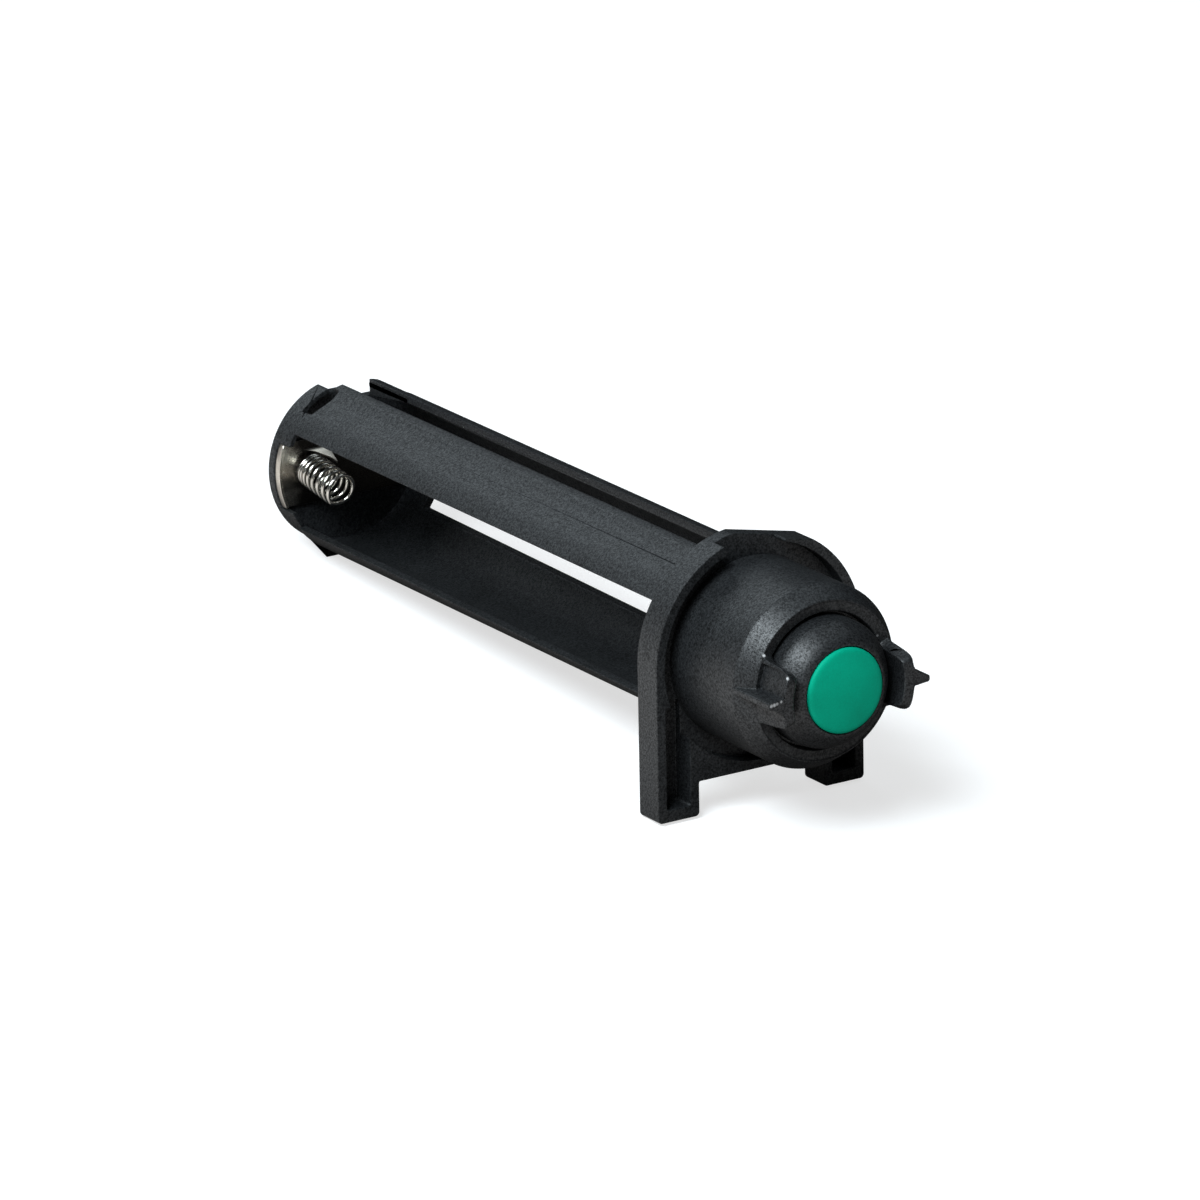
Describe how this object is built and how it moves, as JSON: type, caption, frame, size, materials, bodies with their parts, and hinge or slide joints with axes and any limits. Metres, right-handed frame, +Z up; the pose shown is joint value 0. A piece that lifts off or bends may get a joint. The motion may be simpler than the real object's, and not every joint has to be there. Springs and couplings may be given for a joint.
{
  "type": "cylindrical cell holder",
  "caption": "Cylindrical cell holder: open cage with front flange on legs, quarter-turn end cap with grip ears and push button, and sprung contacts.",
  "frame": {"origin": "on the tube axis, in the middle of the land of the rear locating ring", "axes": "+Y runs back along the tube, away from the button; +Z is up, away from the legs; +X is to the right, seen from the button end"},
  "size_m": [0.0258, 0.1002, 0.0294],
  "materials": {
    "black_plastic": "fine matte moulded texture",
    "cap_plastic": "fine matte moulded texture",
    "green_plastic": "satin",
    "nickel_strip": "nickel-plated sheet",
    "spring_wire": "nickel-plated wire",
    "steel_wire": "plain spring steel",
    "seat_plastic": "moulded"
  },
  "bodies": {
    "cage": {"cage": "black_plastic", "rear_strip": "nickel_strip", "cell_spring": "spring_wire"},
    "cap": {"cap": "cap_plastic", "spring_seat": "seat_plastic", "front_disc": "nickel_strip", "front_spring": "spring_wire", "clip_ring": "steel_wire", "button_spring": "steel_wire"},
    "button": {"button": "green_plastic"}
  },
  "joints": [
    {"name": "cap_turn", "type": "hinge", "parent": "cage", "child": "cap", "pos_m": [0, -0.0822, 0], "axis": [0, -1, 0], "range_deg": [0, 36]},
    {"name": "button_press", "type": "slide", "parent": "cap", "child": "button", "axis": [0, 1, 0], "range_m": [0, 0.0012], "stiffness_N_per_m": 400, "springref_m": -0.002, "deforming": ["button_spring"]}
  ]
}
